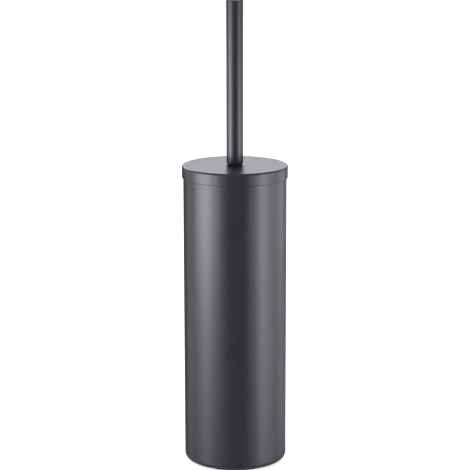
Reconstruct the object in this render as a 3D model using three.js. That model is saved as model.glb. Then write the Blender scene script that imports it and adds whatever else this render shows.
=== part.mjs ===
// Free-standing toilet brush holder: a slim coated-steel canister with a lift-out plastic liner, and
// a brush that hangs from its own lid by a tube handle. The brush head screws off for replacement.
// Millimetres, +Z up. The origin is on the floor, on the common axis of canister, lid and brush.
import * as THREE from "three";

// Driving dimensions.
const overallHeight = 390.8;
const canisterRadius = 43;
const lidRadius = 44.05;
const lidTop = 254.5;
const lidSkirtHeight = 10.5;
const handleRadius = 7;
const stemRadius = 5;
const headRadius = 35.5;

// Sheet steel, and the gaps between pieces.
const sheet = 0.8;
const seatGap = 0.1; // between faces that rest on each other
const fitGap = 0.2; // between a plug and the tube around it

// Facets of wide and slender pieces, and steps in each arc of an outline.
const wideFacets = 40;
const slimFacets = 24;
const arcSteps = 2;

// Base and canister.
const footHeight = 1.5;
const footOuter = 36.4;
const footInner = 31;
const baseFillet = 4;
const lipInner = 30;
const baseRim = 38.4;
const rimTop = lidTop - 4.5;
const rimRound = 0.4;
const hemDepth = 4;
const dish = { radius: 26, rise: 1.5, slope: 2 };

// Liner cup, which hangs from the canister's rim by a flange.
const linerWall = 1.3;
const linerTopRadius = 41;
const linerBottomRadius = 39.3;
const linerBottom = 5.6;
const linerCorner = 6;
const flangeThickness = 1.2;
const flangeRadius = 42.7;

// Lid.
const lidUnder = lidTop - 1;
const lidEdge = 1.5;
const lidCorner = 0.3; // inside the edge
const lidHole = 4.2;
const skirtEdge = 0.3;
const gasketInner = 39.2;
const gasketOuter = 42.9;

// Handle, clamped to the lid by a stud.
const handleInner = handleRadius - 1;
const handleFootRound = 0.8;
const washerThickness = 0.9;
const washerRadius = 6.2;
const capThickness = 1.2;
const capEdge = 0.5;
const capPlug = 12;
const insertLength = 19;
const stud = { radius: 2.9, bottom: 231.5, top: 273, chamfer: 0.6 };
const studBore = 3.1;
const boreClearance = 1; // past the end of whatever screws in
const underWasher = { radius: 8, thickness: 1 };
const nut = { acrossFlats: 10, height: 5 };

// Stem below the lid, and the threaded tip that carries the head.
const stemInner = stemRadius - 0.8;
const stemTop = 245.5;
const stemBottom = 117;
const stemCollar = 1.5;
const topPlugLength = 17;
const tipPlugLength = 12;
const thread = { radius: 3.9, length: 11, chamfer: 0.8 };
const seal = { inner: 4.3, outer: 6.2, thickness: 1 };

// Brush head: a moulded core, nine rows of tufts around it and more tufts on its domed end.
const neck = { radius: 7, height: 10, edge: 0.5, shoulder: 1.5 };
const coreTopRadius = 10.5;
const coreBottomRadius = 9;
const coreBottom = 42;
const coreDome = 6;
const threadBore = { radius: 4.1, depth: 12.8 };
const rowCount = 9;
const rowPitch = 7.2;
const firstRow = 99.6;
const rowThickness = 6.6;
const rowEdge = 1;
const rowGap = 0.4; // between the core and the space that a row of tufts fills
const endRowInset = 2; // by which the first and last rows are shorter
const tip = { bottom: 21, radius: 31.5, bowl: 2, inner: 8, domeInner: 4.5 };

const steel = { color: 0x3b3c3f, roughness: 0.5, metalness: 0.3 };
const zinc = { color: 0xa9abad, roughness: 0.35, metalness: 1 };
const blackPlastic = { color: 0x1c1d1f, roughness: 0.45, metalness: 0 };
const greyPlastic = { color: 0x55585c, roughness: 0.5, metalness: 0 };
const rubber = { color: 0x151516, roughness: 0.9, metalness: 0 };
const nylon = { color: 0x26272a, roughness: 0.6, metalness: 0 };

const quarter = Math.PI / 2;
const root = new THREE.Group();
root.name = "toilet_brush_holder";

function add(name, geometry, finish) {
  const mesh = new THREE.Mesh(geometry, new THREE.MeshStandardMaterial(finish));
  mesh.name = name;
  root.add(mesh);
}

function outlineFrom(radius, height) {
  return new THREE.Path().moveTo(radius, height);
}

// Turns an outline about Z. Its points are (radius, height): anticlockwise for a ring, which closes
// on itself, and upwards from the axis to the axis for a piece with no hole.
function turned(outline, facets) {
  return new THREE.LatheGeometry(outline.getPoints(arcSteps), facets).rotateX(quarter);
}

// A plain ring, bush or washer.
function ring(inner, outer, low, high, facets) {
  const outline = outlineFrom(inner, low).lineTo(outer, low).lineTo(outer, high);
  return turned(outline.lineTo(inner, high).lineTo(inner, low), facets);
}

// --- Holder -------------------------------------------------------------------------------------

// A rolled steel tube: its foot turns in to a flat lip, and its rim is hemmed inwards.
function canisterShell() {
  const low = footHeight;
  const knee = low + baseFillet;
  const kneeRadius = canisterRadius - baseFillet;
  const inner = canisterRadius - sheet;
  const hemInner = inner - sheet;
  const hemLow = rimTop - hemDepth;
  const outline = outlineFrom(lipInner, low).lineTo(kneeRadius, low);
  outline.absarc(kneeRadius, knee, baseFillet, -quarter, 0);
  outline.lineTo(canisterRadius, rimTop - rimRound).lineTo(canisterRadius - rimRound, rimTop);
  outline.lineTo(hemInner + rimRound, rimTop).lineTo(hemInner, rimTop - rimRound);
  outline.lineTo(hemInner, hemLow).lineTo(inner, hemLow - rimRound).lineTo(inner, knee);
  outline.absarc(kneeRadius, knee, baseFillet - sheet, 0, -quarter, true);
  return turned(outline.lineTo(lipInner, low + sheet).lineTo(lipInner, low), wideFacets);
}

// A disc with a raised middle, welded on top of the canister's lip.
function basePlate() {
  const low = footHeight + sheet + seatGap;
  const high = low + dish.rise;
  const bend = 0.3; // by which the slope's upper side runs further out
  const outline = outlineFrom(0, high).lineTo(dish.radius, high);
  outline.lineTo(dish.radius + dish.slope, low).lineTo(baseRim, low);
  outline.lineTo(baseRim, low + sheet).lineTo(dish.radius + dish.slope + bend, low + sheet);
  outline.lineTo(dish.radius + bend, high + sheet).lineTo(0, high + sheet);
  return turned(outline, wideFacets);
}

// A tapered cup with a rounded bottom edge and a flange that lies on the canister's rim.
function linerCup() {
  const flangeLow = rimTop + seatGap;
  const flangeHigh = flangeLow + flangeThickness;
  const knee = linerBottom + linerCorner;
  const kneeRadius = linerBottomRadius - linerCorner;
  const outline = outlineFrom(0, linerBottom).lineTo(kneeRadius, linerBottom);
  outline.absarc(kneeRadius, knee, linerCorner, -quarter, 0);
  outline.lineTo(linerTopRadius, flangeLow).lineTo(flangeRadius, flangeLow);
  outline.lineTo(flangeRadius, flangeHigh).lineTo(linerTopRadius - linerWall, flangeHigh);
  outline.lineTo(linerBottomRadius - linerWall, knee);
  outline.absarc(kneeRadius, knee, linerCorner - linerWall, 0, -quarter, true);
  return turned(outline.lineTo(0, linerBottom + linerWall), wideFacets);
}

// --- Lid ----------------------------------------------------------------------------------------

// A pressed cap: its skirt slips over the outside of the canister.
function lidShell() {
  const skirtLow = lidTop - lidSkirtHeight;
  const skirtInner = lidRadius - sheet;
  const outline = outlineFrom(lidHole, lidUnder).lineTo(skirtInner - lidCorner, lidUnder);
  outline.lineTo(skirtInner, lidUnder - lidCorner);
  outline.lineTo(skirtInner, skirtLow + skirtEdge).lineTo(skirtInner + skirtEdge, skirtLow);
  outline.lineTo(lidRadius - skirtEdge, skirtLow).lineTo(lidRadius, skirtLow + skirtEdge);
  outline.lineTo(lidRadius, lidTop - lidEdge);
  outline.absarc(lidRadius - lidEdge, lidTop - lidEdge, lidEdge, 0, quarter);
  return turned(outline.lineTo(lidHole, lidTop).lineTo(lidHole, lidUnder), wideFacets);
}

// A soft ring in the lid's corner that lands on the liner's flange.
function lidGasket() {
  const low = rimTop + flangeThickness + 2 * seatGap;
  return ring(gasketInner, gasketOuter, low, lidUnder - seatGap, wideFacets);
}

// --- Handle -------------------------------------------------------------------------------------

const handleFoot = lidTop + washerThickness + 2 * seatGap;

function handleWasher() {
  const low = lidTop + seatGap;
  return ring(studBore, washerRadius, low, low + washerThickness, slimFacets);
}

function handleTube() {
  const low = handleFoot;
  const high = overallHeight - capThickness - seatGap;
  const roundCentre = handleRadius - handleFootRound;
  const outline = outlineFrom(handleInner, low).lineTo(roundCentre, low);
  outline.absarc(roundCentre, low + handleFootRound, handleFootRound, -quarter, 0);
  outline.lineTo(handleRadius, high).lineTo(handleInner, high);
  return turned(outline.lineTo(handleInner, low), slimFacets);
}

// A disc as wide as the tube, with a plug that is pressed into it.
function handleCap() {
  const plug = handleInner - fitGap;
  const low = overallHeight - capThickness;
  const plugLow = low - capPlug;
  const outline = outlineFrom(0, plugLow).lineTo(plug - capEdge, plugLow);
  outline.lineTo(plug, plugLow + capEdge).lineTo(plug, low).lineTo(handleRadius, low);
  outline.lineTo(handleRadius, overallHeight - capEdge);
  outline.absarc(handleRadius - capEdge, overallHeight - capEdge, capEdge, 0, quarter);
  return turned(outline.lineTo(0, overallHeight), slimFacets);
}

// A round plug in the tube's foot, with a blind bore for the stud.
function handleInsert() {
  const outer = handleInner - fitGap;
  const high = handleFoot + insertLength;
  const boreTop = stud.top + boreClearance;
  const outline = outlineFrom(0, boreTop).lineTo(studBore, boreTop).lineTo(studBore, handleFoot);
  return turned(outline.lineTo(outer, handleFoot).lineTo(outer, high).lineTo(0, high), slimFacets);
}

function clampStud() {
  const { radius, bottom, top, chamfer } = stud;
  const outline = outlineFrom(0, bottom).lineTo(radius - chamfer, bottom);
  outline.lineTo(radius, bottom + chamfer).lineTo(radius, top - chamfer);
  return turned(outline.lineTo(radius - chamfer, top).lineTo(0, top), slimFacets);
}

const underWasherLow = lidUnder - seatGap - underWasher.thickness;

function washerUnderLid() {
  return ring(studBore, underWasher.radius, underWasherLow, lidUnder - seatGap, slimFacets);
}

function lockNut() {
  const cornerRadius = nut.acrossFlats / Math.sqrt(3);
  const hexagon = new THREE.Shape().moveTo(cornerRadius, 0);
  for (let side = 1; side <= 6; side += 1) {
    const angle = (side * Math.PI) / 3;
    hexagon.lineTo(cornerRadius * Math.cos(angle), cornerRadius * Math.sin(angle));
  }
  hexagon.holes.push(new THREE.Path().absarc(0, 0, studBore, 0, 2 * Math.PI));
  const geometry = new THREE.ExtrudeGeometry(hexagon, { depth: nut.height, bevelEnabled: false });
  return geometry.translate(0, 0, underWasherLow - seatGap - nut.height);
}

// --- Stem ---------------------------------------------------------------------------------------

function stemTube() {
  return ring(stemInner, stemRadius, stemBottom, stemTop, slimFacets);
}

// A flanged bush in the stem's upper end, with a blind bore for the stud.
function stemTopPlug() {
  const low = stemTop - topPlugLength;
  const flangeLow = stemTop + seatGap;
  const flangeHigh = stemTop + stemCollar;
  const outer = stemInner - fitGap;
  const boreLow = stud.bottom - boreClearance;
  const outline = outlineFrom(0, low).lineTo(outer, low).lineTo(outer, flangeLow);
  outline.lineTo(stemRadius, flangeLow).lineTo(stemRadius, flangeHigh);
  outline.lineTo(studBore, flangeHigh).lineTo(studBore, boreLow).lineTo(0, boreLow);
  return turned(outline, slimFacets);
}

// A plug in the stem's lower end, with a collar and the thread that the head screws on to.
function stemTip() {
  const collarLow = stemBottom - stemCollar;
  const collarHigh = stemBottom - seatGap;
  const threadLow = collarLow - thread.length;
  const plug = stemInner - fitGap;
  const plugHigh = stemBottom + tipPlugLength;
  const outline = outlineFrom(0, threadLow).lineTo(thread.radius - thread.chamfer, threadLow);
  outline.lineTo(thread.radius, threadLow + thread.chamfer).lineTo(thread.radius, collarLow);
  outline.lineTo(stemRadius, collarLow).lineTo(stemRadius, collarHigh);
  outline.lineTo(plug, collarHigh).lineTo(plug, plugHigh).lineTo(0, plugHigh);
  return turned(outline, slimFacets);
}

const sealHigh = stemBottom - stemCollar - seatGap;

function headSeal() {
  return ring(seal.inner, seal.outer, sealHigh - seal.thickness, sealHigh, slimFacets);
}

// --- Brush head ---------------------------------------------------------------------------------

const headTop = sealHigh - seal.thickness - seatGap;
const neckLow = headTop - neck.height;

// The core's barrel tapers evenly from the neck's shoulder to the domed end.
function coreRadiusAt(height) {
  const share = THREE.MathUtils.clamp((height - coreBottom) / (neckLow - coreBottom), 0, 1);
  return THREE.MathUtils.lerp(coreBottomRadius, coreTopRadius, share);
}

// The moulded core: a neck with a threaded bore, a slightly tapered barrel and a domed end.
function headCore() {
  const boreLow = headTop - threadBore.depth;
  const outline = new THREE.Path();
  outline.absellipse(0, coreBottom, coreBottomRadius, coreDome, -quarter, 0);
  outline.lineTo(coreTopRadius, neckLow - neck.shoulder);
  outline.lineTo(neck.radius, neckLow + neck.shoulder);
  outline.lineTo(neck.radius, headTop - neck.edge).lineTo(neck.radius - neck.edge, headTop);
  outline.lineTo(threadBore.radius, headTop).lineTo(threadBore.radius, boreLow);
  return turned(outline.lineTo(0, boreLow), slimFacets);
}

// The space that one row of tufts fills.
function bristleRow(index) {
  const middle = firstRow - index * rowPitch;
  const low = middle - rowThickness / 2;
  const high = middle + rowThickness / 2;
  const inner = coreRadiusAt(high) + rowGap;
  const isEnd = index === 0 || index === rowCount - 1;
  const outer = headRadius - (isEnd ? endRowInset : 0);
  const outline = outlineFrom(inner, low).lineTo(outer - rowEdge, low).lineTo(outer, low + rowEdge);
  outline.lineTo(outer, high - rowEdge).lineTo(outer - rowEdge, high);
  return turned(outline.lineTo(inner, high).lineTo(inner, low), slimFacets);
}

// The space that the tufts on the core's domed end fill, a bowl below the last row.
function tipTufts() {
  const lastRowLow = firstRow - (rowCount - 1) * rowPitch - rowThickness / 2;
  const high = lastRowLow - rowGap;
  const domeLow = coreBottom - coreDome - rowGap;
  const outline = outlineFrom(0, tip.bottom);
  outline.quadraticCurveTo(tip.radius, tip.bottom, tip.radius, high - tip.bowl);
  outline.lineTo(tip.radius, high).lineTo(tip.inner, high).lineTo(tip.domeInner, domeLow);
  return turned(outline.lineTo(0, domeLow), slimFacets);
}

add("foot_ring", ring(footInner, footOuter, 0, footHeight, wideFacets), rubber);
add("canister_shell", canisterShell(), steel);
add("base_plate", basePlate(), steel);
add("liner_cup", linerCup(), greyPlastic);
add("lid_shell", lidShell(), steel);
add("lid_gasket", lidGasket(), rubber);
add("handle_washer", handleWasher(), rubber);
add("handle_tube", handleTube(), steel);
add("handle_cap", handleCap(), steel);
add("handle_insert", handleInsert(), zinc);
add("clamp_stud", clampStud(), zinc);
add("under_washer", washerUnderLid(), zinc);
add("lock_nut", lockNut(), zinc);
add("stem_tube", stemTube(), steel);
add("stem_top_plug", stemTopPlug(), blackPlastic);
add("stem_tip", stemTip(), blackPlastic);
add("head_seal", headSeal(), rubber);
add("head_core", headCore(), blackPlastic);
for (let index = 0; index < rowCount; index += 1) {
  add(`bristle_row_${index + 1}`, bristleRow(index), nylon);
}
add("tip_tufts", tipTufts(), nylon);

export default root;
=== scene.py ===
"""Looks of the toilet brush holder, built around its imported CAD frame.

Metres, +Z up, -Y is the front. Every round piece is turned again here as a fine, filleted mesh with
the CAD node's own size. The threads and the nut get their real form, and each row of bristles
becomes tufts of single filaments.
"""
import math
import random

import bpy
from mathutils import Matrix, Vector

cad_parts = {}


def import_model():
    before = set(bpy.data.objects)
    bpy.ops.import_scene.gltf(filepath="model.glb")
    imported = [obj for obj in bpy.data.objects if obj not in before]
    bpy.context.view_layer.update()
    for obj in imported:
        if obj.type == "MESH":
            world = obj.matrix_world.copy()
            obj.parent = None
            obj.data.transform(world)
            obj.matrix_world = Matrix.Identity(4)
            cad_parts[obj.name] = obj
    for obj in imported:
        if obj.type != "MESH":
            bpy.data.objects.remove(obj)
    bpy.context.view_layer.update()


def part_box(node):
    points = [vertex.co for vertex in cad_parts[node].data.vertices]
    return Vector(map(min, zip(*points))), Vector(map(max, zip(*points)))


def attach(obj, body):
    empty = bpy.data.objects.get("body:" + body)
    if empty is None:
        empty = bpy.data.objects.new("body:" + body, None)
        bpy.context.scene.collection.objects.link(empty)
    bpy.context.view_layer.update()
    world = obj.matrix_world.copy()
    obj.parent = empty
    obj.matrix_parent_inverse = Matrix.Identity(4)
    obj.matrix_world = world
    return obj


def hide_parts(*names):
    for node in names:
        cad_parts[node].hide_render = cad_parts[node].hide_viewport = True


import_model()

MM = 0.001
SEED = 7

# Fineness of the turned pieces.
WIDE_SEGMENTS = 256
SLIM_SEGMENTS = 96
CORE_SEGMENTS = 192
ARC_STEPS = 6
SUPPORT = 0.12 * MM  # from a fillet's end to the extra ring that keeps the flat beside it flat
SHARP_ANGLE = math.radians(32)

# Fillets.
MOUTH_FILLET = 0.1 * MM
PLATE_FILLET = 0.12 * MM
CRISP = 0.15 * MM
BUSH_FILLET = 0.2 * MM
WASHER_FILLET = 0.25 * MM
FINE = 0.3 * MM
EASED = 0.5 * MM
GASKET_FILLET = 0.6 * MM
BARREL_FILLET = 1 * MM
NECK_FILLET = 0.8 * MM

# Details that the CAD nodes' boxes don't give.
SEAT_GAP = 0.1 * MM
SHEET = 0.8 * MM
SHEET_EDGE = SHEET / 4  # fillet of a cut edge
FOLD = SHEET / 2  # fillet where sheet lies folded
BEND_SHIFT = SHEET / 3  # by which the dish's upper bends lie further out
HEM_DEPTH = 4 * MM
BASE_FILLET = 4 * MM
LIP_INNER = 30 * MM
DISH_RADIUS = 26 * MM
DISH_SLOPE = 2 * MM
DISH_RISE = 1.5 * MM
FOOT_INNER = 31 * MM
FOOT_LANDS = 3
FOOT_GROOVE = 0.4 * MM
LID_PLATE = 1 * MM
LID_EDGE = 1.5 * MM
LID_INNER_EDGE = 0.4 * MM
SKIRT_EDGE = 0.5 * MM
LID_HOLE = 4.2 * MM
GASKET_INNER = 39.2 * MM
TUBE_WALL = 1 * MM
TUBE_FOOT_ROUND = 0.8 * MM
CAP_THICKNESS = 1.2 * MM
CAP_PLUG_RADIUS = 5.8 * MM
STUD_BORE = 3.1 * MM
STUD_BORE_TOP = 274 * MM
STUD_BORE_BOTTOM = 230.5 * MM
STUD_CHAMFER = 0.6 * MM
NUT_SEGMENTS = 72
NUT_BORE_CHAMFER = 0.4 * MM
NUT_CHAMFER_ANGLE = math.radians(30)
NUT_FACE = 0.98  # of the distance from the axis to a flat
STEM_WALL = 0.8 * MM
STEM_PLUG_RADIUS = 4 * MM
STEM_COLLAR = 1.5 * MM
SEAL_INNER = 4.3 * MM
LINER_WALL = 1.3 * MM
LINER_BOTTOM_RADIUS = 39.3 * MM
LINER_TOP_RADIUS = 41 * MM
LINER_CORNER = 6 * MM
FLANGE = 1.2 * MM
FLANGE_FILLET = 0.4 * FLANGE

# Brush head.
NECK_RADIUS = 7 * MM
NECK_HEIGHT = 10 * MM
NECK_SHOULDER = 1.5 * MM
NECK_GRIPS = 12
NECK_GRIP_DEPTH = 0.45 * MM
NECK_RIM = 1.5 * MM  # above the grips
NECK_SLACK = 0.1 * MM  # within which a point counts as on the neck
GRIP_OFFSET = 0.5
CORE_BOTTOM_RADIUS = 9 * MM
CORE_DOME = 6 * MM
HEAD_BORE = 4.1 * MM
HEAD_BORE_DEPTH = 12.8 * MM
TIP_THREAD_RADIUS = 3.9 * MM
TIP_CHAMFER = 0.8 * MM

# Threads: pitch and depth.
HEAD_PITCH = 2 * MM
HEAD_THREAD_DEPTH = 0.75 * MM
STUD_PITCH = 1 * MM
STUD_THREAD_DEPTH = 0.5 * MM
RINGS_PER_TURN = 8
RIDGE_STEEPNESS = 2.2
RIDGE_SHIFT = 0.6

# Bristles.
ROW_COUNT = 9
TUFTS_PER_ROW = 16
FILAMENTS_PER_TUFT = 44
FILAMENT_RADIUS = 0.17 * MM
FILAMENT_SIDES = 3
FILAMENT_STEPS = 4
FILAMENT_BOW = 0.9 * MM
TUFT_ROOT = 1.7 * MM
TUFT_SPREAD_ROUND = 7.2 * MM
TUFT_SPREAD_UP = 3.9 * MM
STRAY_ROUND = 0.5 * MM
STRAY_UP = 0.3 * MM
ROOT_DEPTH = 0.5 * MM
TRIM_SCATTER = 0.6 * MM
END_TUFT_RINGS = ((0, 1), (28, 6), (56, 12))  # degrees from straight down, and how many tufts
END_SPREAD_UP = 0.24  # radians, at the trimmed ends
END_SPREAD_ROUND = 0.28
END_ROOT_SPREAD = 0.12
END_ROOT_REACH = 0.9  # of the core's dome
END_TRIM_SCATTER = 0.02  # of the length

# Materials. Most of any noise lies between its low and high.
NOISE_LOW = 0.3
NOISE_HIGH = 0.7
SMOOTH = 1  # layers of detail in a noise
PLAIN = 2
RICH = 3
GRITTY = 4
SOFT_BUMP = 0.5
FIRM_BUMP = 0.6
EDGE_PATCHES = (0.5, 0.68)
EDGE_FRAYING = 0.6

COAT_COLOURS = ((0.029, 0.0295, 0.034), (0.035, 0.0355, 0.0405))
COAT_WORN = (0.05, 0.051, 0.055)
COAT_CLOUD_SIZE = 40 * MM
COAT_WEAR_SIZE = 7 * MM
COAT_GRAIN_SIZE = 0.35 * MM
COAT_GRAIN_HEIGHT = 0.005 * MM
COAT_PEEL_SIZE = 1.4 * MM
COAT_PEEL_HEIGHT = 0.006 * MM
COAT_ROUGHNESS = (0.26, 0.34)
COAT_POLISH = 0.75
COAT_IOR = 1.5

LINER_COLOURS = ((0.15, 0.158, 0.168), (0.18, 0.188, 0.198))
LINER_FLOW = (1, 1, 0.08)
LINER_FLOW_SIZE = 5 * MM
LINER_GRAIN_SIZE = 0.5 * MM
LINER_GRAIN_HEIGHT = 0.02 * MM
LINER_ROUGHNESS = (0.38, 0.52)

BLACK_COLOURS = ((0.010, 0.0105, 0.0115), (0.016, 0.0165, 0.018))
BLACK_CLOUD_SIZE = 6 * MM
BLACK_GRAIN_SIZE = 0.4 * MM
BLACK_GRAIN_HEIGHT = 0.015 * MM
BLACK_ROUGHNESS = (0.35, 0.5)

RUBBER_COLOURS = ((0.016, 0.016, 0.017), (0.035, 0.035, 0.034))
RUBBER_DUST_SIZE = 0.8 * MM
RUBBER_DUST_FRAYING = 0.65
RUBBER_DUST_HEIGHT = 0.02 * MM
RUBBER_DUST_RANGE = (0.5, 0.8)
RUBBER_DUST_COVER = 0.6
RUBBER_ROUGHNESS = (0.65, 0.85)

ZINC_COLOURS = ((0.50, 0.54, 0.58), (0.60, 0.57, 0.47))
ZINC_CLOUD_SIZE = 2.5 * MM
ZINC_CLOUD_RANGE = (0.35, 0.65)
ZINC_SCRATCH = (1, 1, 6)
ZINC_SCRATCH_SIZE = 0.6 * MM
ZINC_SCRATCH_HEIGHT = 0.006 * MM
ZINC_ROUGHNESS = (0.25, 0.42)

NYLON_COLOURS = ((0.02, 0.0205, 0.0225), (0.055, 0.056, 0.06))
NYLON_PALE = (0.085, 0.086, 0.09)
NYLON_STREAK_SIZE = 1.5 * MM
NYLON_STREAK_RANGE = (0.45, 0.8)
NYLON_STREAK_COVER = 0.5
NYLON_ROUGHNESS = (0.3, 0.45)

# Camera.
CAMERA_DISTANCE = 1.5004
CAMERA_PITCH = math.radians(12.51)
CAMERA_ROLL = math.radians(-0.098)
CAMERA_AIM = 0.1947
CAMERA_LENS = 137.4
SENSOR = 36

# Stage. Azimuth 0 is the camera's side and 90 the right, in degrees.
FLOOR_HALF = 12
FLOOR_CLOUDS = 0.4
FLOOR_COLOURS = ((0.86, 0.86, 0.86), (0.9, 0.9, 0.9))
FLOOR_ROUGHNESS = 0.8
FLOOR_GLOW = 1.0
# The floor's painted contact shadow: how far it reaches, and how much it darkens the floor's glow.
PAINTED_SHADOW_REACH = 0.04
PAINTED_SHADOW_DEPTH = 0.35
ROOM_LIGHT = 0.055
LIGHT_TINT = (0.97, 0.99, 1.04)
PANEL_WIDTH = 30  # degrees, at most
LEVEL_LIGHTS = (  # name, height, size, radiance and whether it faces down
    ("ceiling", 2, 1.6, 0.15, True),
    ("table_bounce", -0.6, 1.6, 0.25, False),
)
NEAR = 1.2  # metres from the axis
FAR = 4
# The sides reach below the floor, where a glossy table would mirror them more dimly.
SIDE_HEIGHTS = (-0.42, -0.1, 0.12, 0.3, 0.7, 1.3)
BACK_HEIGHTS = (1.15, 1.8, 3.7)
HIGH_HEIGHTS = (1.1, 2.2)
# Name, distance, azimuth, width, heights of the bands' edges, and each band's radiance.
LIGHT_WALLS = (
    ("left_core", NEAR, -66, 27, SIDE_HEIGHTS, (1.3, 5.4, 2.5, 0, 0)),
    ("left", NEAR, -65, 62, SIDE_HEIGHTS, (0.45, 4.8, 2.5, 0.6, 0.4)),
    ("left_wide", NEAR, -77, 112, SIDE_HEIGHTS, (0.6, 0.8, 0.65, 0.15, 0)),
    ("right_core", NEAR, 62, 25, SIDE_HEIGHTS, (1.4, 4.1, 1.3, 0, 0)),
    ("right", NEAR, 73, 40, SIDE_HEIGHTS, (1.4, 0.8, 0.6, 0.6, 0.4)),
    ("right_wide", NEAR, 81, 102, SIDE_HEIGHTS, (1.15, 2.1, 0.9, 0, 0)),
    ("right_rear", NEAR, 147, 30, SIDE_HEIGHTS, (0.35, 0.4, 0.2, 0.2, 0)),
    ("back", FAR, 191, 66, BACK_HEIGHTS, (2.9, 3.5)),
    ("high", FAR, 11, 290, HIGH_HEIGHTS, (0.9,)),
)


# --- Mesh tools ---------------------------------------------------------------------------------

def arc_at(here, before, after, fillet):
    """A fillet's (radius, height, edge) points: edge is 1 in its middle and 0 on the flats beside.

    Where there is room, a support ring on each side keeps the flat flat.
    """
    to_before = before - here
    to_after = after - here
    half_angle = to_before.angle(to_after) / 2
    reach = fillet / math.tan(half_angle)
    inward = (to_before.normalized() + to_after.normalized()).normalized()
    centre = here + inward * fillet / math.sin(half_angle)
    start = here + to_before.normalized() * reach
    end = here + to_after.normalized() * reach
    points = []
    if to_before.length > reach + 2 * SUPPORT:
        points.append((*(start + to_before.normalized() * SUPPORT), 0))
    for step in range(ARC_STEPS + 1):
        share = step / ARC_STEPS
        spot = centre + (start - centre).slerp(end - centre, share) * fillet
        points.append((*spot, math.sin(math.pi * share)))
    if to_after.length > reach + 2 * SUPPORT:
        points.append((*(end + to_after.normalized() * SUPPORT), 0))
    return points


def rounded(corners, closed):
    """An outline's (radius, height, edge) points from its (radius, height, fillet) corners."""
    flat = [Vector(corner[:2]) for corner in corners]
    points = []
    for index, corner in enumerate(corners):
        is_end = not closed and index in (0, len(corners) - 1)
        if is_end or corner[2] == 0:
            points.append((*flat[index], 0))
            continue
        points += arc_at(flat[index], flat[index - 1], flat[(index + 1) % len(flat)], corner[2])
    return points


def finished(mesh):
    """Smooth faces, with a break where two of them meet at a sharp angle."""
    mesh.validate()
    mesh.polygons.foreach_set("use_smooth", [True] * len(mesh.polygons))
    mesh.set_sharp_from_angle(angle=SHARP_ANGLE)
    mesh.update()
    return mesh


def turned_mesh(name, points, segments, closed, swell=None):
    """Turns an outline's points about Z. swell(angle, radius, height) may change a radius."""
    vertices = []
    edges = []
    rings = []
    for radius, height, edge in points:
        first = len(vertices)
        if radius == 0:
            rings.append([first] * segments)
            vertices.append((0, 0, height))
            edges.append(0)
            continue
        rings.append(range(first, first + segments))
        for step in range(segments):
            angle = 2 * math.pi * step / segments
            reach = radius + (swell(angle, radius, height) if swell else 0)
            vertices.append((reach * math.cos(angle), reach * math.sin(angle), height))
            edges.append(edge)
    pairs = list(zip(rings, rings[1:]))
    if closed:
        pairs.append((rings[-1], rings[0]))
    faces = []
    for low, high in pairs:
        for step in range(segments):
            after = (step + 1) % segments
            faces.append(tuple(dict.fromkeys((low[step], low[after], high[after], high[step]))))
    mesh = bpy.data.meshes.new(name)
    mesh.from_pydata(vertices, [], faces)
    mesh.attributes.new("edge", "FLOAT", "POINT").data.foreach_set("value", edges)
    return finished(mesh)


def piece(name, mesh, body, material, nodes):
    """Puts a mesh in the scene: it rides on the body and stands for the CAD nodes."""
    made = bpy.data.objects.new(name, mesh)
    bpy.context.scene.collection.objects.link(made)
    mesh.materials.append(material)
    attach(made, body)
    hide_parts(*nodes)
    return made


def extent(node):
    """A round CAD node's outer radius, lowest height and highest height."""
    low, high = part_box(node)
    return high.x, low.z, high.z


def solid_mesh(name, corners, segments=SLIM_SEGMENTS, swell=None):
    """A turned body with no hole: its corners go up from the axis to the axis."""
    return turned_mesh(name, rounded(corners, False), segments, False, swell)


def ring_mesh(name, corners, segments=SLIM_SEGMENTS, swell=None):
    """A turned body with a hole: its corners go round the section, outer side upwards."""
    return turned_mesh(name, rounded(corners, True), segments, True, swell)


def plain_ring(node, inner, fillet, segments=SLIM_SEGMENTS):
    """A ring of rectangular section with all four edges rounded."""
    outer, low, high = extent(node)
    corners = [
        (inner, low, fillet),
        (outer, low, fillet),
        (outer, high, fillet),
        (inner, high, fillet),
    ]
    return ring_mesh("v_" + node, corners, segments)


def clamp(value):
    return max(0.0, min(1.0, value))


def thread(pitch, depth, low, high, radius):
    """A swell that cuts a right-hand thread into a shaft of that radius between two heights."""
    def swell(angle, at_radius, height):
        if at_radius < radius - depth or not low <= height <= high:
            return 0
        turn = (height / pitch - angle / (2 * math.pi)) % 1
        ridge = clamp(RIDGE_STEEPNESS * (1 - abs(2 * turn - 1)) - RIDGE_SHIFT)
        fade = clamp((height - low) / pitch) * clamp((high - height) / pitch)
        return -depth * (1 - ridge) * fade
    return swell


def shaft(radius, low, high, pitch):
    """Corners up a threaded shaft, close enough together for its thread."""
    count = round((high - low) / pitch * RINGS_PER_TURN)
    return [(radius, low + (high - low) * index / count, 0) for index in range(count + 1)]


# --- Material tools -----------------------------------------------------------------------------

def new_material(name):
    material = bpy.data.materials.new(name)
    material.use_nodes = True
    tree = material.node_tree
    return material, tree, tree.nodes["Principled BSDF"]


def object_place(tree):
    return tree.nodes.new("ShaderNodeTexCoord").outputs["Object"]


def noise(tree, place, size, detail=PLAIN, roughness=0.5):
    """Noise whose features are about size metres across."""
    texture = tree.nodes.new("ShaderNodeTexNoise")
    texture.inputs["Scale"].default_value = 1 / size
    texture.inputs["Detail"].default_value = detail
    texture.inputs["Roughness"].default_value = roughness
    tree.links.new(place, texture.inputs["Vector"])
    return texture.outputs["Fac"]


def stretched(tree, place, factors):
    """The place with each axis scaled, to draw noise out along one of them."""
    mapping = tree.nodes.new("ShaderNodeMapping")
    mapping.inputs["Scale"].default_value = factors
    tree.links.new(place, mapping.inputs["Vector"])
    return mapping.outputs["Vector"]


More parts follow.
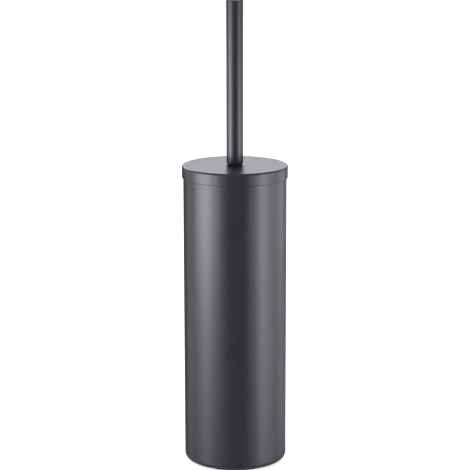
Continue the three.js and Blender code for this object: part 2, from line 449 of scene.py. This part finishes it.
def spread(tree, value, low, high, at_low, at_high):
    """Maps a value between low and high to one between at_low and at_high."""
    node = tree.nodes.new("ShaderNodeMapRange")
    node.inputs["From Min"].default_value = low
    node.inputs["From Max"].default_value = high
    node.inputs["To Min"].default_value = at_low
    node.inputs["To Max"].default_value = at_high
    tree.links.new(value, node.inputs["Value"])
    return node.outputs["Result"]


def evened(tree, noise_value, at_low=0, at_high=1):
    """Maps the usual range of a noise to one between at_low and at_high."""
    return spread(tree, noise_value, NOISE_LOW, NOISE_HIGH, at_low, at_high)


def colour_sockets(sockets):
    """A Mix node has sockets of the same name for numbers, vectors and colours."""
    return [socket for socket in sockets if socket.type == "RGBA"]


def mixed(tree, share, colour_a, colour_b):
    """A colour between two, each a plain colour or another node's output."""
    node = tree.nodes.new("ShaderNodeMix")
    node.data_type = "RGBA"
    tree.links.new(share, node.inputs["Factor"])
    for socket, colour in zip(colour_sockets(node.inputs), (colour_a, colour_b)):
        if isinstance(colour, tuple):
            socket.default_value = (*colour, 1)
        else:
            tree.links.new(colour, socket)
    return colour_sockets(node.outputs)[0]


def bumped(tree, height, distance, strength, under=None):
    """A normal from a height, over another normal if there is one."""
    node = tree.nodes.new("ShaderNodeBump")
    node.inputs["Distance"].default_value = distance
    node.inputs["Strength"].default_value = strength
    tree.links.new(height, node.inputs["Height"])
    if under is not None:
        tree.links.new(under, node.inputs["Normal"])
    return node.outputs["Normal"]


def attribute(tree, name):
    node = tree.nodes.new("ShaderNodeAttribute")
    node.attribute_name = name
    return node.outputs["Fac"]


def product(tree, first, second):
    node = tree.nodes.new("ShaderNodeMath")
    node.operation = "MULTIPLY"
    tree.links.new(first, node.inputs[0])
    tree.links.new(second, node.inputs[1])
    return node.outputs["Value"]


def coloured(tree, surface, share, colours):
    """Gives the surface a mixture of two colours."""
    tree.links.new(mixed(tree, share, *colours), surface.inputs["Base Color"])


def textured(tree, surface, grain, roughness, height, strength):
    """Lets one grain set both the surface's roughness and its relief."""
    tree.links.new(evened(tree, grain, *roughness), surface.inputs["Roughness"])
    tree.links.new(bumped(tree, grain, height, strength), surface.inputs["Normal"])


def worn_edges(tree, place, size):
    """How worn the surface is: patches along the rounded edges, and none on the flats."""
    patches = spread(tree, noise(tree, place, size, RICH, EDGE_FRAYING), *EDGE_PATCHES, 0, 1)
    return product(tree, attribute(tree, "edge"), patches)


def powder_coat():
    """Satin anthracite powder coating: orange peel, faint cloudiness, edges polished by use."""
    material, tree, surface = new_material("powder_coat")
    place = object_place(tree)
    cloud = noise(tree, place, COAT_CLOUD_SIZE, RICH)
    body = mixed(tree, evened(tree, cloud), *COAT_COLOURS)
    wear = worn_edges(tree, place, COAT_WEAR_SIZE)
    coloured(tree, surface, wear, (body, COAT_WORN))
    grain = noise(tree, place, COAT_GRAIN_SIZE)
    satin = evened(tree, grain, *COAT_ROUGHNESS)
    polish = spread(tree, wear, 0, 1, 1, COAT_POLISH)
    tree.links.new(product(tree, satin, polish), surface.inputs["Roughness"])
    waves = noise(tree, place, COAT_PEEL_SIZE, SMOOTH)
    peel = bumped(tree, waves, COAT_PEEL_HEIGHT, FIRM_BUMP)
    relief = bumped(tree, grain, COAT_GRAIN_HEIGHT, FIRM_BUMP, peel)
    tree.links.new(relief, surface.inputs["Normal"])
    surface.inputs["IOR"].default_value = COAT_IOR
    return material


def liner_plastic():
    """Grey moulded polypropylene: eroded texture, faint flow lines along the draw."""
    material, tree, surface = new_material("liner_plastic")
    place = object_place(tree)
    flow = noise(tree, stretched(tree, place, LINER_FLOW), LINER_FLOW_SIZE, RICH)
    coloured(tree, surface, evened(tree, flow), LINER_COLOURS)
    grain = noise(tree, place, LINER_GRAIN_SIZE, RICH)
    textured(tree, surface, grain, LINER_ROUGHNESS, LINER_GRAIN_HEIGHT, FIRM_BUMP)
    return material


def black_plastic():
    """Black moulded plastic of the plugs and the brush core."""
    material, tree, surface = new_material("black_plastic")
    place = object_place(tree)
    cloud = noise(tree, place, BLACK_CLOUD_SIZE)
    coloured(tree, surface, evened(tree, cloud), BLACK_COLOURS)
    grain = noise(tree, place, BLACK_GRAIN_SIZE)
    textured(tree, surface, grain, BLACK_ROUGHNESS, BLACK_GRAIN_HEIGHT, SOFT_BUMP)
    return material


def soft_rubber():
    """Matte black elastomer of the rings and washers, with a little dust on it."""
    material, tree, surface = new_material("soft_rubber")
    dust = noise(tree, object_place(tree), RUBBER_DUST_SIZE, GRITTY, RUBBER_DUST_FRAYING)
    cover = spread(tree, dust, *RUBBER_DUST_RANGE, 0, RUBBER_DUST_COVER)
    coloured(tree, surface, cover, RUBBER_COLOURS)
    textured(tree, surface, dust, RUBBER_ROUGHNESS, RUBBER_DUST_HEIGHT, SOFT_BUMP)
    return material


def zinc_steel():
    """Zinc-plated steel of the stud, nut and washer, with a cloudy blue-yellow passivation."""
    material, tree, surface = new_material("zinc_steel")
    place = object_place(tree)
    cloud = noise(tree, place, ZINC_CLOUD_SIZE, RICH)
    coloured(tree, surface, spread(tree, cloud, *ZINC_CLOUD_RANGE, 0, 1), ZINC_COLOURS)
    surface.inputs["Metallic"].default_value = 1
    scratch = noise(tree, stretched(tree, place, ZINC_SCRATCH), ZINC_SCRATCH_SIZE, RICH)
    textured(tree, surface, scratch, ZINC_ROUGHNESS, ZINC_SCRATCH_HEIGHT, SOFT_BUMP)
    return material


def nylon():
    """Dark nylon filament: each strand a little lighter or darker, with paler streaks."""
    material, tree, surface = new_material("nylon")
    shade = mixed(tree, attribute(tree, "strand"), *NYLON_COLOURS)
    streak = noise(tree, object_place(tree), NYLON_STREAK_SIZE)
    cover = spread(tree, streak, *NYLON_STREAK_RANGE, 0, NYLON_STREAK_COVER)
    coloured(tree, surface, cover, (shade, NYLON_PALE))
    tree.links.new(evened(tree, streak, *NYLON_ROUGHNESS), surface.inputs["Roughness"])
    return material


COAT = powder_coat()
LINER = liner_plastic()
BLACK = black_plastic()
RUBBER = soft_rubber()
ZINC = zinc_steel()
NYLON = nylon()


# --- Holder and liner ---------------------------------------------------------------------------

def canister_shell():
    """Sheet tube with a rounded foot that turns in to a lip, and a rim folded over inwards."""
    outer, low, high = extent("canister_shell")
    inner = outer - SHEET
    hem_inner = inner - SHEET
    hem_low = high - HEM_DEPTH
    corners = [
        (LIP_INNER, low, SHEET_EDGE),
        (outer, low, BASE_FILLET),
        (outer, high, FOLD),
        (hem_inner, high, FOLD),
        (hem_inner, hem_low, SHEET_EDGE),
        (inner, hem_low - SHEET_EDGE, 0),
        (inner, low + SHEET, BASE_FILLET - SHEET),
        (LIP_INNER, low + SHEET, SHEET_EDGE),
    ]
    mesh = ring_mesh("v_canister_shell", corners, WIDE_SEGMENTS)
    piece("canister", mesh, "holder", COAT, ["canister_shell"])


def base_plate():
    """A disc with a raised middle that lies on the tube's lip."""
    outer, low, high = extent("base_plate")
    foot = DISH_RADIUS + DISH_SLOPE
    corners = [
        (0, low + DISH_RISE, 0),
        (DISH_RADIUS, low + DISH_RISE, SHEET),
        (foot, low, SHEET),
        (outer, low, SHEET_EDGE),
        (outer, low + SHEET, SHEET_EDGE),
        (foot + BEND_SHIFT, low + SHEET, SHEET),
        (DISH_RADIUS + BEND_SHIFT, high, SHEET),
        (0, high, 0),
    ]
    mesh = solid_mesh("v_base_plate", corners, WIDE_SEGMENTS)
    piece("pressed_base", mesh, "holder", COAT, ["base_plate"])


def foot_ring():
    """A soft ring whose underside has two shallow grooves, for grip."""
    outer, low, high = extent("foot_ring")
    width = (outer - FOOT_INNER) / (2 * FOOT_LANDS - 1)
    groove_top = low + FOOT_GROOVE
    corners = [(FOOT_INNER, high, FINE)]
    for land in range(FOOT_LANDS):
        start = FOOT_INNER + 2 * land * width
        corners += [(start, low, FINE), (start + width, low, FINE)]
        if land < FOOT_LANDS - 1:
            corners += [(start + width, groove_top, 0), (start + 2 * width, groove_top, 0)]
    corners.append((outer, high, FINE))
    mesh = ring_mesh("v_foot_ring", corners, WIDE_SEGMENTS)
    piece("grip_ring", mesh, "holder", RUBBER, ["foot_ring"])


def liner_cup():
    """Tapered moulded cup with a rounded floor edge and a rolled flange."""
    outer, low, high = extent("liner_cup")
    flange_low = high - FLANGE
    corners = [
        (0, low, 0),
        (LINER_BOTTOM_RADIUS, low, LINER_CORNER),
        (LINER_TOP_RADIUS, flange_low, FLANGE_FILLET),
        (outer, flange_low, FLANGE_FILLET),
        (outer, high, FLANGE_FILLET),
        (LINER_TOP_RADIUS - LINER_WALL, high, FLANGE_FILLET),
        (LINER_BOTTOM_RADIUS - LINER_WALL, low + LINER_WALL, LINER_CORNER - LINER_WALL),
        (0, low + LINER_WALL, 0),
    ]
    mesh = solid_mesh("v_liner_cup", corners, WIDE_SEGMENTS)
    piece("liner", mesh, "liner", LINER, ["liner_cup"])


# --- Lid and handle -----------------------------------------------------------------------------

def lid_shell():
    """A pressed lid with a skirt that slips over the tube."""
    outer, low, high = extent("lid_shell")
    inner = outer - SHEET
    under = high - LID_PLATE
    corners = [
        (LID_HOLE, under, SHEET_EDGE),
        (inner, under, LID_INNER_EDGE),
        (inner, low, SHEET_EDGE),
        (outer, low, SKIRT_EDGE),
        (outer, high, LID_EDGE),
        (LID_HOLE, high, SHEET_EDGE),
    ]
    mesh = ring_mesh("v_lid_shell", corners, WIDE_SEGMENTS)
    piece("lid", mesh, "brush", COAT, ["lid_shell"])


def lid_gasket():
    mesh = plain_ring("lid_gasket", GASKET_INNER, GASKET_FILLET, WIDE_SEGMENTS)
    piece("gasket", mesh, "gasket", RUBBER, ["lid_gasket"])


def handle_tube():
    """A straight tube whose foot is rounded off outside."""
    outer, low, high = extent("handle_tube")
    inner = outer - TUBE_WALL
    corners = [
        (inner, low, CRISP),
        (outer, low, TUBE_FOOT_ROUND),
        (outer, high, CRISP),
        (inner, high, MOUTH_FILLET),
    ]
    mesh = ring_mesh("v_handle_tube", corners)
    piece("handle", mesh, "brush", COAT, ["handle_tube"])


def handle_cap():
    """A flat disc with a plug that is pressed into the tube."""
    outer, low, high = extent("handle_cap")
    seat = high - CAP_THICKNESS
    corners = [
        (0, low, 0),
        (CAP_PLUG_RADIUS, low, EASED),
        (CAP_PLUG_RADIUS, seat, 0),
        (outer, seat, CRISP),
        (outer, high, EASED),
        (0, high, 0),
    ]
    mesh = solid_mesh("v_handle_cap", corners)
    piece("end_cap", mesh, "brush", COAT, ["handle_cap"])


def handle_washer():
    mesh = plain_ring("handle_washer", STUD_BORE, WASHER_FILLET)
    piece("foot_washer", mesh, "brush", RUBBER, ["handle_washer"])


def under_washer():
    mesh = plain_ring("under_washer", STUD_BORE, PLATE_FILLET)
    piece("steel_washer", mesh, "brush", ZINC, ["under_washer"])


def handle_insert():
    """Plug in the handle's foot, with a blind bore for the stud."""
    outer, low, high = extent("handle_insert")
    corners = [
        (0, STUD_BORE_TOP, 0),
        (STUD_BORE, STUD_BORE_TOP, 0),
        (STUD_BORE, low, FINE),
        (outer, low, FINE),
        (outer, high, EASED),
        (0, high, 0),
    ]
    mesh = solid_mesh("v_handle_insert", corners)
    piece("handle_plug", mesh, "brush", ZINC, ["handle_insert"])


def clamp_stud():
    """Threaded rod with chamfered ends."""
    outer, low, high = extent("clamp_stud")
    thread_low = low + STUD_CHAMFER
    thread_high = high - STUD_CHAMFER
    corners = [(0, low, 0), (outer - STUD_CHAMFER, low, 0)]
    corners += shaft(outer, thread_low, thread_high, STUD_PITCH)
    corners += [(outer - STUD_CHAMFER, high, 0), (0, high, 0)]
    swell = thread(STUD_PITCH, STUD_THREAD_DEPTH, thread_low, thread_high, outer)
    mesh = solid_mesh("v_clamp_stud", corners, SLIM_SEGMENTS // 2, swell)
    piece("stud", mesh, "brush", ZINC, ["clamp_stud"])


def hexagon(angle, flats):
    """Radius at an angle of a hexagon with a corner on the X axis."""
    from_flat = (angle - math.pi / 6) % (math.pi / 3)
    return flats / math.cos(min(from_flat, math.pi / 3 - from_flat))


def nut_ring(radius_at, height_at):
    """A ring of points whose radius and height follow the angle."""
    points = []
    for step in range(NUT_SEGMENTS):
        angle = 2 * math.pi * step / NUT_SEGMENTS
        radius = radius_at(angle)
        points.append((radius * math.cos(angle), radius * math.sin(angle), height_at(angle)))
    return points


def nut_end(flats, end, inward):
    """Rings from the bore to the edge of the side faces; inward is 1 at the nut's foot."""
    face = NUT_FACE * flats
    slope = math.tan(NUT_CHAMFER_ANGLE)
    bore_edge = STUD_BORE + NUT_BORE_CHAMFER
    return [
        nut_ring(lambda angle: STUD_BORE, lambda angle: end + inward * NUT_BORE_CHAMFER),
        nut_ring(lambda angle: bore_edge, lambda angle: end),
        nut_ring(lambda angle: face, lambda angle: end),
        nut_ring(
            lambda angle: hexagon(angle, flats),
            lambda angle: end + inward * (hexagon(angle, flats) - face) * slope,
        ),
    ]


def lock_nut():
    """Hexagon nut: the cone that turns its corners off leaves the curved edges of a real one."""
    outer, low, high = extent("lock_nut")
    flats = outer * math.cos(math.pi / 6)
    levels = nut_end(flats, low, 1) + nut_end(flats, high, -1)[::-1]
    vertices = [point for level in levels for point in level]
    faces = []
    for index in range(len(levels)):
        here = index * NUT_SEGMENTS
        above = (index + 1) % len(levels) * NUT_SEGMENTS
        for step in range(NUT_SEGMENTS):
            after = (step + 1) % NUT_SEGMENTS
            faces.append((here + step, here + after, above + after, above + step))
    mesh = bpy.data.meshes.new("v_lock_nut")
    mesh.from_pydata(vertices, [], faces)
    piece("nut", finished(mesh), "brush", ZINC, ["lock_nut"])


# --- Stem ---------------------------------------------------------------------------------------

def stem_tube():
    outer = extent("stem_tube")[0]
    mesh = plain_ring("stem_tube", outer - STEM_WALL, CRISP)
    piece("stem", mesh, "brush", COAT, ["stem_tube"])


def stem_top_plug():
    """Flanged bush in the stem's upper end, with a blind bore for the stud."""
    outer, low, high = extent("stem_top_plug")
    flange_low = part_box("stem_tube")[1].z + SEAT_GAP
    corners = [
        (0, low, 0),
        (STEM_PLUG_RADIUS, low, EASED),
        (STEM_PLUG_RADIUS, flange_low, 0),
        (outer, flange_low, BUSH_FILLET),
        (outer, high, FINE),
        (STUD_BORE, high, FINE),
        (STUD_BORE, STUD_BORE_BOTTOM, 0),
        (0, STUD_BORE_BOTTOM, 0),
    ]
    mesh = solid_mesh("v_stem_top_plug", corners)
    piece("stem_bush", mesh, "brush", BLACK, ["stem_top_plug"])


def stem_tip():
    """Plug with a collar, and the coarse thread that the head screws on to."""
    outer, low, high = extent("stem_tip")
    stem_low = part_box("stem_tube")[0].z
    collar_high = stem_low - SEAT_GAP
    collar_low = stem_low - STEM_COLLAR
    corners = [(0, low, 0), (TIP_THREAD_RADIUS - TIP_CHAMFER, low, 0)]
    corners += shaft(TIP_THREAD_RADIUS, low + TIP_CHAMFER, collar_low, HEAD_PITCH)
    corners += [
        (outer, collar_low, WASHER_FILLET),
        (outer, collar_high, WASHER_FILLET),
        (STEM_PLUG_RADIUS, collar_high, 0),
        (STEM_PLUG_RADIUS, high, EASED),
        (0, high, 0),
    ]
    thread_low = low + TIP_CHAMFER / 2
    swell = thread(HEAD_PITCH, HEAD_THREAD_DEPTH, thread_low, collar_low, TIP_THREAD_RADIUS)
    mesh = solid_mesh("v_stem_tip", corners, SLIM_SEGMENTS, swell)
    piece("stem_thread", mesh, "brush", BLACK, ["stem_tip"])


def head_seal():
    mesh = plain_ring("head_seal", SEAL_INNER, FINE)
    piece("seal", mesh, "seal", RUBBER, ["head_seal"])


# --- Brush head ---------------------------------------------------------------------------------

def core_radius_at(height):
    """Radius of the core's tapered barrel."""
    outer, low, high = extent("head_core")
    barrel_low = low + CORE_DOME
    share = clamp((height - barrel_low) / (high - NECK_HEIGHT - barrel_low))
    return CORE_BOTTOM_RADIUS + (outer - CORE_BOTTOM_RADIUS) * share


def head_core():
    """Moulded core: grip ribs round the neck, a shoulder, a tapered barrel and a domed end."""
    outer, low, high = extent("head_core")
    neck_low = high - NECK_HEIGHT + NECK_SHOULDER
    corners = []
    for step in range(ARC_STEPS + 1):
        angle = math.pi / 2 * step / ARC_STEPS
        height = low + CORE_DOME * (1 - math.cos(angle))
        corners.append((CORE_BOTTOM_RADIUS * math.sin(angle), height, 0))
    corners += [
        (outer, neck_low - 2 * NECK_SHOULDER, BARREL_FILLET),
        (NECK_RADIUS, neck_low, NECK_FILLET),
        (NECK_RADIUS, high - NECK_RIM, 0),
        (NECK_RADIUS, high, EASED),
        (HEAD_BORE, high, FINE),
        (HEAD_BORE, high - HEAD_BORE_DEPTH, 0),
        (0, high - HEAD_BORE_DEPTH, 0),
    ]

    def grips(angle, radius, height):
        on_neck = radius >= NECK_RADIUS - NECK_SLACK
        if not on_neck or not neck_low <= height <= high - NECK_RIM + NECK_SLACK:
            return 0
        return -NECK_GRIP_DEPTH * clamp(GRIP_OFFSET - math.cos(NECK_GRIPS * angle))

    mesh = solid_mesh("v_head_core", corners, CORE_SEGMENTS, grips)
    piece("core", mesh, "head", BLACK, ["head_core"])


def filament(start, end, bow, radius):
    """A slender strand that bows a little on its way from start to end."""
    along = (end - start).normalized()
    side = along.orthogonal().normalized()
    other = along.cross(side)
    vertices = []
    for step in range(FILAMENT_STEPS + 1):
        share = step / FILAMENT_STEPS
        middle = start.lerp(end, share) + bow * math.sin(math.pi * share)
        for corner in range(FILAMENT_SIDES):
            angle = 2 * math.pi * corner / FILAMENT_SIDES
            vertices.append(middle + (side * math.cos(angle) + other * math.sin(angle)) * radius)
    faces = [tuple(reversed(range(FILAMENT_SIDES)))]
    for step in range(FILAMENT_STEPS):
        low = FILAMENT_SIDES * step
        high = low + FILAMENT_SIDES
        for corner in range(FILAMENT_SIDES):
            after = (corner + 1) % FILAMENT_SIDES
            faces.append((low + corner, low + after, high + after, high + corner))
    faces.append(tuple(range(FILAMENT_SIDES * FILAMENT_STEPS, len(vertices))))
    return vertices, faces


def strands_mesh(name, strands):
    """One mesh of many filaments, with a number on each for its shade."""
    vertices = []
    faces = []
    shades = []
    for start, end, bow, shade in strands:
        first = len(vertices)
        own_vertices, own_faces = filament(start, end, bow, FILAMENT_RADIUS)
        vertices += own_vertices
        faces += [tuple(first + index for index in face) for face in own_faces]
        shades += [shade] * len(own_vertices)
    mesh = bpy.data.meshes.new(name)
    mesh.from_pydata(vertices, [], faces)
    mesh.attributes.new("strand", "FLOAT", "POINT").data.foreach_set("value", shades)
    mesh.polygons.foreach_set("use_smooth", [True] * len(mesh.polygons))
    mesh.update()
    return mesh


def in_disc(dice):
    """A random point in a disc of radius 1."""
    reach = math.sqrt(dice.random())
    angle = dice.uniform(0, 2 * math.pi)
    return reach * math.cos(angle), reach * math.sin(angle)


def random_bow(dice):
    return Vector((dice.gauss(0, 1), dice.gauss(0, 1), dice.gauss(0, 1))) * FILAMENT_BOW / 2


def bristle_row(index):
    """Tufts that flare out from the core and are trimmed to a cylinder."""
    node = f"bristle_row_{index}"
    outer, low, high = extent(node)
    middle = (low + high) / 2
    root_radius = core_radius_at(middle) - ROOT_DEPTH
    dice = random.Random(SEED + index)
    strands = []
    shift = (index % 2) / 2  # sets the tufts of every other row in the gaps of its neighbours
    for tuft in range(TUFTS_PER_ROW):
        angle = 2 * math.pi * (tuft + shift) / TUFTS_PER_ROW
        out = Vector((math.cos(angle), math.sin(angle), 0))
        sideways = Vector((-math.sin(angle), math.cos(angle), 0))
        for _ in range(FILAMENTS_PER_TUFT):
            across, up = in_disc(dice)
            aside = across * TUFT_SPREAD_ROUND + dice.gauss(0, STRAY_ROUND)
            trim = outer - abs(dice.gauss(0, TRIM_SCATTER))
            reach = math.sqrt(trim * trim - aside * aside)
            start = out * root_radius + sideways * across * TUFT_ROOT
            start.z = middle + up * TUFT_ROOT
            end = out * reach + sideways * aside
            end.z = middle + up * TUFT_SPREAD_UP + dice.gauss(0, STRAY_UP)
            strands.append((start, end, random_bow(dice), dice.random()))
    mesh = strands_mesh("v_" + node, strands)
    piece(f"tufts_{index}", mesh, "head", NYLON, [node])


def end_strand(dice, tilt, angle, heart, reach, depth):
    """A strand of the tuft at that tilt from straight down and that angle round the axis."""
    across, up = in_disc(dice)
    from_down = math.radians(tilt) + up * END_SPREAD_UP
    turn = angle + across * (END_SPREAD_ROUND if tilt else math.pi)
    out = Vector((math.cos(turn), math.sin(turn), 0))
    root = math.radians(tilt) + up * END_ROOT_SPREAD
    start = out * CORE_BOTTOM_RADIUS * math.sin(root) * END_ROOT_REACH
    start.z = heart - CORE_DOME * math.cos(root) * END_ROOT_REACH
    trim = 1 - abs(dice.gauss(0, END_TRIM_SCATTER))
    end = out * reach * math.sin(from_down) * trim
    end.z = heart - depth * math.cos(from_down) * trim
    return start, end, random_bow(dice), dice.random()


def end_tufts():
    """Tufts on the core's domed end, trimmed to a bowl."""
    reach, low, _ = extent("tip_tufts")
    heart = extent("head_core")[1] + CORE_DOME
    dice = random.Random(SEED)
    strands = []
    for tilt, count in END_TUFT_RINGS:
        for tuft in range(count):
            angle = 2 * math.pi * tuft / count
            for _ in range(FILAMENTS_PER_TUFT):
                strands.append(end_strand(dice, tilt, angle, heart, reach, heart - low))
    mesh = strands_mesh("v_tip_tufts", strands)
    piece("end_tufts", mesh, "head", NYLON, ["tip_tufts"])


for make in (
    canister_shell, base_plate, foot_ring, liner_cup,
    lid_shell, lid_gasket, handle_tube, handle_cap, handle_washer, under_washer, handle_insert,
    clamp_stud, lock_nut, stem_tube, stem_top_plug, stem_tip, head_seal, head_core, end_tufts,
):
    make()
for row in range(1, ROW_COUNT + 1):
    bristle_row(row)


# --- Stage --------------------------------------------------------------------------------------

def camera():
    data = bpy.data.cameras.new("camera")
    data.lens = CAMERA_LENS
    data.sensor_width = SENSOR
    made = bpy.data.objects.new("camera", data)
    bpy.context.scene.collection.objects.link(made)
    back = Vector((0, -math.cos(CAMERA_PITCH), math.sin(CAMERA_PITCH)))
    made.location = Vector((0, 0, CAMERA_AIM)) + back * CAMERA_DISTANCE
    made.rotation_mode = "ZYX"
    made.rotation_euler = (math.pi / 2 - CAMERA_PITCH, 0, CAMERA_ROLL)
    data.dof.use_dof = False
    bpy.context.scene.camera = made


def floor():
    """A wide white sweep that glows evenly, with a painted contact shadow: ambient occlusion softly
    darkens its glow around whatever stands on it.
    """
    mesh = bpy.data.meshes.new("floor")
    corners = [(x * FLOOR_HALF, y * FLOOR_HALF, 0) for x, y in ((-1, -1), (1, -1), (1, 1), (-1, 1))]
    mesh.from_pydata(corners, [], [(0, 1, 2, 3)])
    material, tree, surface = new_material("floor")
    cloud = noise(tree, object_place(tree), FLOOR_CLOUDS)
    coloured(tree, surface, cloud, FLOOR_COLOURS)
    surface.inputs["Roughness"].default_value = FLOOR_ROUGHNESS
    # Painted shadow: ambient occlusion darkens the floor's glow near the object, and no lamp casts
    # it.
    shadow_occlusion = tree.nodes.new("ShaderNodeAmbientOcclusion")
    shadow_occlusion.inputs["Distance"].default_value = PAINTED_SHADOW_REACH
    glow_with_painted_shadow = spread(tree, shadow_occlusion.outputs["AO"], 0, 1, 1 - PAINTED_SHADOW_DEPTH, 1)
    tree.links.new(glow_with_painted_shadow, surface.inputs["Emission Color"])
    surface.inputs["Emission Strength"].default_value = FLOOR_GLOW
    mesh.materials.append(material)
    made = bpy.data.objects.new("floor", mesh)
    bpy.context.scene.collection.objects.link(made)
    made.visible_glossy = False
    made.visible_diffuse = False
    made.visible_shadow = False


def world():
    """White where the camera sees it, dim for everything that it lights."""
    made = bpy.data.worlds.new("studio")
    bpy.context.scene.world = made
    made.use_nodes = True
    tree = made.node_tree
    background = tree.nodes["Background"]
    seen = tree.nodes.new("ShaderNodeLightPath").outputs["Is Camera Ray"]
    tree.links.new(spread(tree, seen, 0, 1, ROOM_LIGHT, 1), background.inputs["Strength"])
    background.inputs["Color"].default_value = (1, 1, 1, 1)


def area_light(name, width, height, radiance):
    data = bpy.data.lights.new(name, "AREA")
    data.shape = "RECTANGLE"
    data.size = width
    data.size_y = height
    data.energy = math.pi * width * height * radiance
    data.color = LIGHT_TINT
    made = bpy.data.objects.new(name, data)
    bpy.context.scene.collection.objects.link(made)
    made.visible_camera = False
    return made


def level_light(name, height, size, radiance, faces_down):
    made = area_light(name, size, size, radiance)
    made.location = (0, 0, height)
    made.rotation_euler = (0 if faces_down else math.pi, 0, 0)


def light_wall(name, distance, azimuth, width, heights, radiances):
    """Softboxes side by side along an arc around the axis, in bands one above the other."""
    count = math.ceil(width / PANEL_WIDTH)
    share = math.radians(width) / count
    first = math.radians(azimuth - width / 2) + share / 2
    panel_width = 2 * distance * math.tan(share / 2)
    for step in range(count):
        turn = first + step * share
        x = distance * math.sin(turn)
        y = -distance * math.cos(turn)
        for low, high, radiance in zip(heights, heights[1:], radiances):
            if radiance == 0:
                continue
            made = area_light(f"{name}_{step}", panel_width, high - low, radiance)
            made.location = (x, y, (low + high) / 2)
            made.rotation_euler = (math.pi / 2, 0, turn)


camera()
floor()
world()
for light in LEVEL_LIGHTS:
    level_light(*light)
for wall in LIGHT_WALLS:
    light_wall(*wall)
bpy.context.scene.view_settings.view_transform = "Standard"
